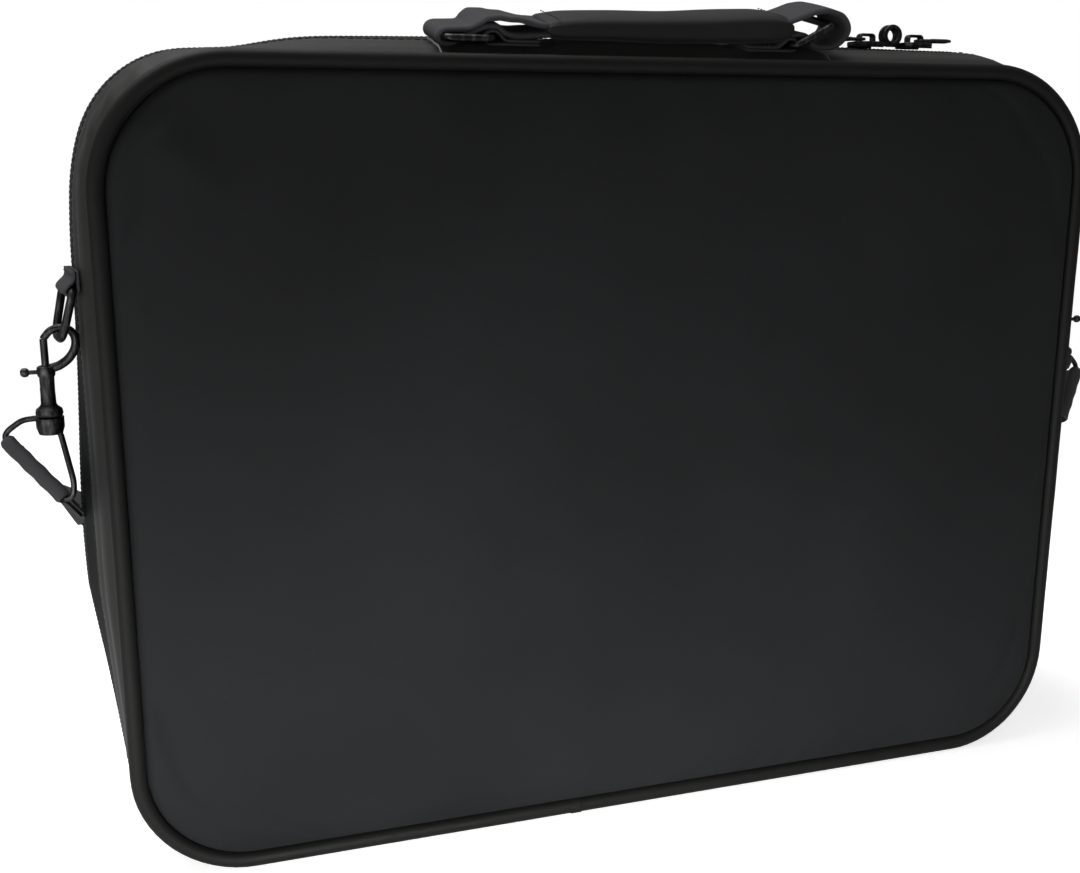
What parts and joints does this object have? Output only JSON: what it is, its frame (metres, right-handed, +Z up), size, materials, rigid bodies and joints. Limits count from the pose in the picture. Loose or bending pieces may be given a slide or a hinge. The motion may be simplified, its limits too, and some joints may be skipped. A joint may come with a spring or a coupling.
{
  "type": "laptop case",
  "caption": "Padded zip-round laptop case in black nylon, with piped edges, carry handle on link rings, lockable zip sliders and a shoulder strap on swivel hooks.",
  "frame": {"origin": "on the floor, midway between the two halves at the zip line and midway between the case's ends, with the case standing on its base", "axes": "+X along the case's width, +Y out of the front half with the slip pocket, +Z up towards the carry handle"},
  "size_m": [0.4916, 0.1342, 0.3362],
  "materials": {
    "nylon": "black coated nylon pack cloth, plain weave, dull",
    "piping": "black fabric piping over cord, slight sheen",
    "lining": "dark grey nylon lining",
    "tape": "black woven zip tape and binding",
    "coil": "black nylon zip teeth",
    "webbing": "black ribbed nylon webbing",
    "sleeve": "black padded fabric grip",
    "foam": "grey closed-cell foam",
    "pads": "fabric-covered black foam",
    "board": "stiff black plastic board",
    "pull": "black moulded pull tab, satin",
    "nickel": "black-nickel plated die casting and wire, worn satin",
    "steel": "spring steel wire"
  },
  "bodies": {
    "case_back": {"back_panel": "nylon", "back_board": "board", "back_foam": "foam", "back_lining": "lining", "back_rim": "piping", "back_rim_wire": "steel", "back_gusset": "nylon", "back_gusset_foam": "foam", "back_gusset_lining": "lining", "back_zip_tape": "tape", "back_zip_coil": "coil", "back_hinge_strip": "tape", "laptop_pads": "pads", "laptop_straps": "webbing", "handle_patch": "nylon", "handle_tab_left": "webbing", "handle_tab_right": "webbing", "ring_tab_left": "webbing", "ring_tab_right": "webbing", "strap_webbing": "webbing"},
    "case_front": {"front_panel": "nylon", "front_board": "board", "front_foam": "foam", "front_lining": "lining", "front_rim": "piping", "front_rim_wire": "steel", "front_gusset": "nylon", "front_gusset_foam": "foam", "front_gusset_lining": "lining", "front_zip_tape": "tape", "front_zip_coil": "coil", "front_hinge_strip": "tape", "organiser": "lining", "pen_loops": "lining", "front_pocket": "nylon", "pocket_hem": "tape"},
    "link_left": {"link_left": "nickel"},
    "link_right": {"link_right": "nickel"},
    "handle": {"handle_loop_left": "webbing", "handle_loop_right": "webbing", "handle_sleeve": "sleeve", "handle_core": "board"},
    "slider_left": {"slider_left": "nickel"},
    "slider_right": {"slider_right": "nickel"},
    "pull_left": {"pull_left": "pull"},
    "pull_right": {"pull_right": "pull"},
    "strap_ring_left": {"strap_ring_left": "nickel"},
    "hook_left": {"hook_body_left": "nickel"},
    "hook_bolt_left": {"hook_bolt_left": "nickel"},
    "swivel_left": {"swivel_cap_left": "nickel"},
    "strap_loop_left": {"strap_loop_left": "nickel", "strap_end_left": "webbing"},
    "strap_ring_right": {"strap_ring_right": "nickel"},
    "hook_right": {"hook_body_right": "nickel"},
    "hook_bolt_right": {"hook_bolt_right": "nickel"},
    "swivel_right": {"swivel_cap_right": "nickel"},
    "strap_loop_right": {"strap_loop_right": "nickel", "strap_end_right": "webbing"}
  },
  "joints": [
    {"name": "lid_hinge", "type": "hinge", "parent": "case_back", "child": "case_front", "pos_m": [0, 0, 0.001], "axis": [-1, 0, 0], "range_deg": [0, 170], "deforming": ["strap_webbing"]},
    {"name": "link_left_hinge", "type": "hinge", "parent": "case_back", "child": "link_left", "pos_m": [-0.0605, -0.022, 0.31943], "axis": [0, 0.9781, 0.2079], "range_deg": [0, 50]},
    {"name": "handle_hinge", "type": "hinge", "parent": "link_left", "child": "handle", "pos_m": [-0.078, -0.022, 0.31943], "axis": [0, 0.9781, 0.2079], "range_deg": [-47.5, 0]},
    {"name": "link_right_hinge", "type": "hinge", "parent": "case_back", "child": "link_right", "pos_m": [0.0645, -0.022, 0.31943], "axis": [0, 0.9781, 0.2079], "range_deg": [-22.5, 0]},
    {"name": "slider_left_slide", "type": "slide", "parent": "case_back", "child": "slider_left", "axis": [-1, 0, 0], "range_m": [0, 0.25]},
    {"name": "slider_right_turn", "type": "hinge", "parent": "case_back", "child": "slider_right", "pos_m": [0.15, 0, 0.2544], "axis": [0, 1, 0], "range_deg": [0, 85]},
    {"name": "pull_left_hinge", "type": "hinge", "parent": "slider_left", "child": "pull_left", "pos_m": [0.1166, 0, 0.3226], "axis": [0, 1, 0], "range_deg": [0, 110]},
    {"name": "pull_right_hinge", "type": "hinge", "parent": "slider_right", "child": "pull_right", "pos_m": [0.1444, 0, 0.3226], "axis": [0, -1, 0], "range_deg": [0, 110]},
    {"name": "strap_ring_left_hinge", "type": "hinge", "parent": "case_back", "child": "strap_ring_left", "pos_m": [-0.21549, -0.014, 0.228], "axis": [-0.1623, 0.9867, 0], "range_deg": [0, 80], "deforming": ["strap_webbing"]},
    {"name": "hook_left_hinge", "type": "hinge", "parent": "strap_ring_left", "child": "hook_left", "pos_m": [-0.21991, -0.01473, 0.21005], "axis": [0, 1, 0], "range_deg": [0, 60], "deforming": ["strap_webbing"]},
    {"name": "hook_bolt_left_slide", "type": "slide", "parent": "hook_left", "child": "hook_bolt_left", "axis": [0, 0, -1], "range_m": [0, 0.005], "stiffness_N_per_m": 150, "springref_m": -0.002},
    {"name": "swivel_left_turn", "type": "hinge", "parent": "hook_left", "child": "swivel_left", "pos_m": [-0.22531, -0.014, 0.17724], "axis": [0, 0, 1], "range_deg": [0, 30], "deforming": ["strap_webbing"]},
    {"name": "strap_loop_left_hinge", "type": "hinge", "parent": "swivel_left", "child": "strap_loop_left", "pos_m": [-0.22531, -0.014, 0.17724], "axis": [0.8773, -0.4779, 0.0435], "range_deg": [-20, 0], "deforming": ["strap_webbing"]},
    {"name": "strap_ring_right_hinge", "type": "hinge", "parent": "case_back", "child": "strap_ring_right", "pos_m": [0.21549, -0.014, 0.228], "axis": [-0.1623, -0.9867, 0], "range_deg": [0, 80], "deforming": ["strap_webbing"]},
    {"name": "hook_right_hinge", "type": "hinge", "parent": "strap_ring_right", "child": "hook_right", "pos_m": [0.21991, -0.01473, 0.21005], "axis": [0, -1, 0], "range_deg": [0, 60], "deforming": ["strap_webbing"]},
    {"name": "hook_bolt_right_slide", "type": "slide", "parent": "hook_right", "child": "hook_bolt_right", "axis": [0, 0, -1], "range_m": [0, 0.005], "stiffness_N_per_m": 150, "springref_m": -0.002},
    {"name": "swivel_right_turn", "type": "hinge", "parent": "hook_right", "child": "swivel_right", "pos_m": [0.22531, -0.014, 0.17724], "axis": [0, 0, -1], "range_deg": [0, 30], "deforming": ["strap_webbing"]},
    {"name": "strap_loop_right_hinge", "type": "hinge", "parent": "swivel_right", "child": "strap_loop_right", "pos_m": [0.22531, -0.014, 0.17724], "axis": [0.8773, 0.4779, -0.0435], "range_deg": [-20, 0], "deforming": ["strap_webbing"]}
  ],
  "couplings": [
    {"joint": "handle_hinge", "follows": "link_left_hinge", "ratio": -0.9406},
    {"joint": "link_right_hinge", "follows": "link_left_hinge", "ratio": -0.44}
  ]
}
